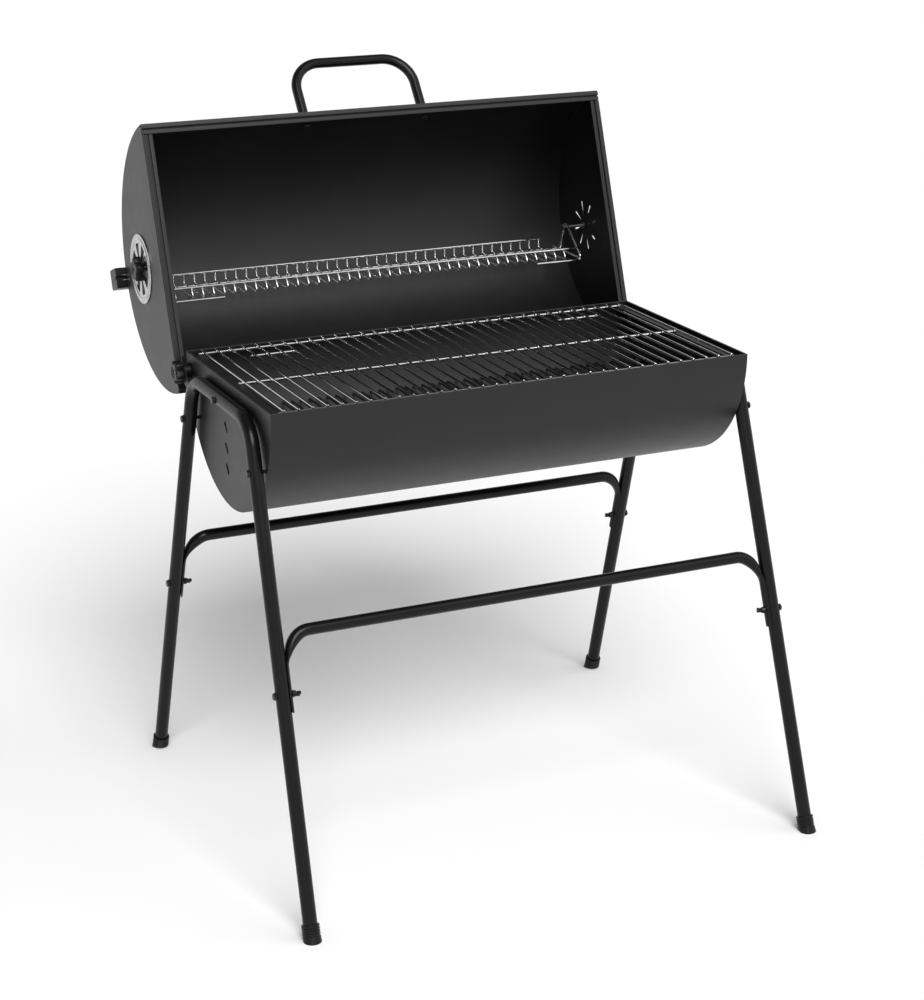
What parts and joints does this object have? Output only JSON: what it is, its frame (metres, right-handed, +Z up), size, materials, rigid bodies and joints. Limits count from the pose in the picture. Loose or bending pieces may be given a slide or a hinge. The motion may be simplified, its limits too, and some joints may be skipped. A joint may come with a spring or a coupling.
{
  "type": "barrel charcoal barbecue",
  "caption": "Half-barrel charcoal barbecue on a bent-tube stand, with a hinged half-round lid, wire grates, a hanging warming rack and turning end vents.",
  "frame": {"origin": "on the floor, at the middle of the bounding box with the lid open", "axes": "+X along the barrel to its right end, +Y to the rear where the lid hinges, +Z up"},
  "size_m": [0.884, 0.926, 1.1698],
  "materials": {
    "black_coated_sheet": "satin powder coat",
    "black_coated_tube": "semi-gloss powder coat",
    "black_plastic": "moulded, fine grain",
    "bright_chrome": "bright chrome plate",
    "dull_wire": "dull drawn wire",
    "zinc_fastener": "zinc plate",
    "dark_fastener": "black plated steel"
  },
  "bodies": {
    "stand_and_bowl": {"bowl_shell": "black_coated_sheet", "bowl_end_left": "black_coated_sheet", "bowl_end_right": "black_coated_sheet", "grate_ledge_left": "black_coated_sheet", "grate_ledge_right": "black_coated_sheet", "leg_frame_left": "black_coated_tube", "leg_frame_right": "black_coated_tube", "crossbar_front": "black_coated_tube", "crossbar_rear": "black_coated_tube", "foot_cap_front_left": "black_plastic", "foot_cap_front_right": "black_plastic", "foot_cap_rear_left": "black_plastic", "foot_cap_rear_right": "black_plastic", "crossbar_bolt_front_left": "dark_fastener", "crossbar_bolt_front_right": "dark_fastener", "crossbar_bolt_rear_left": "dark_fastener", "crossbar_bolt_rear_right": "dark_fastener", "wing_nut_front_left": "dark_fastener", "wing_nut_front_right": "dark_fastener", "wing_nut_rear_left": "dark_fastener", "wing_nut_rear_right": "dark_fastener", "frame_bolt_top_left": "dark_fastener", "frame_bolt_top_right": "dark_fastener", "frame_bolt_front_left": "dark_fastener", "frame_bolt_front_right": "dark_fastener", "frame_bolt_rear_left": "dark_fastener", "frame_bolt_rear_right": "dark_fastener", "frame_nut_top_left": "zinc_fastener", "frame_nut_top_right": "zinc_fastener", "frame_nut_front_left": "zinc_fastener", "frame_nut_front_right": "zinc_fastener", "frame_nut_rear_left": "zinc_fastener", "frame_nut_rear_right": "zinc_fastener", "hinge_bolt_left": "zinc_fastener", "hinge_bolt_right": "zinc_fastener", "hinge_spacer_left": "black_plastic", "hinge_spacer_right": "black_plastic", "hinge_knob_left": "black_plastic", "hinge_knob_right": "black_plastic"},
    "lid": {"lid_shell": "black_coated_sheet", "lid_end_left": "black_coated_sheet", "lid_end_right": "black_coated_sheet", "lid_handle": "black_coated_tube", "handle_screw_left": "zinc_fastener", "handle_screw_right": "zinc_fastener", "lid_grip": "black_plastic", "grip_bracket": "black_coated_sheet", "grip_screw": "zinc_fastener", "grip_clip": "bright_chrome", "vent_bolt_left": "zinc_fastener", "vent_bolt_right": "zinc_fastener"},
    "warming_rack": {"warming_rack": "bright_chrome"},
    "vent_left": {"vent_disc_left": "bright_chrome", "vent_knob_left": "black_plastic"},
    "vent_right": {"vent_disc_right": "bright_chrome", "vent_knob_right": "black_plastic"},
    "cooking_grate": {"cooking_grate": "bright_chrome"},
    "charcoal_grate": {"charcoal_grate": "dull_wire"}
  },
  "joints": [
    {"name": "lid_hinge", "type": "hinge", "parent": "stand_and_bowl", "child": "lid", "pos_m": [0, 0.12656, 0.7284], "axis": [1, 0, 0], "range_deg": [0, 109.2]},
    {"name": "rack_swing", "type": "hinge", "parent": "lid", "child": "warming_rack", "pos_m": [0, 0.3292, 0.85511], "axis": [1, 0, 0], "range_deg": [-109.2, 0]},
    {"name": "vent_left_turn", "type": "hinge", "parent": "lid", "child": "vent_left", "pos_m": [-0.414, 0.3292, 0.85511], "axis": [1, 0, 0], "continuous": true},
    {"name": "vent_right_turn", "type": "hinge", "parent": "lid", "child": "vent_right", "pos_m": [0.414, 0.3292, 0.85511], "axis": [1, 0, 0], "continuous": true},
    {"name": "cooking_grate_lift", "type": "slide", "parent": "stand_and_bowl", "child": "cooking_grate", "axis": [0, 0, 1], "range_m": [0, 0.05]},
    {"name": "charcoal_grate_lift", "type": "slide", "parent": "stand_and_bowl", "child": "charcoal_grate", "axis": [0, 0, 1], "range_m": [0, 0.05]}
  ],
  "couplings": [
    {"joint": "rack_swing", "follows": "lid_hinge", "ratio": -1}
  ]
}
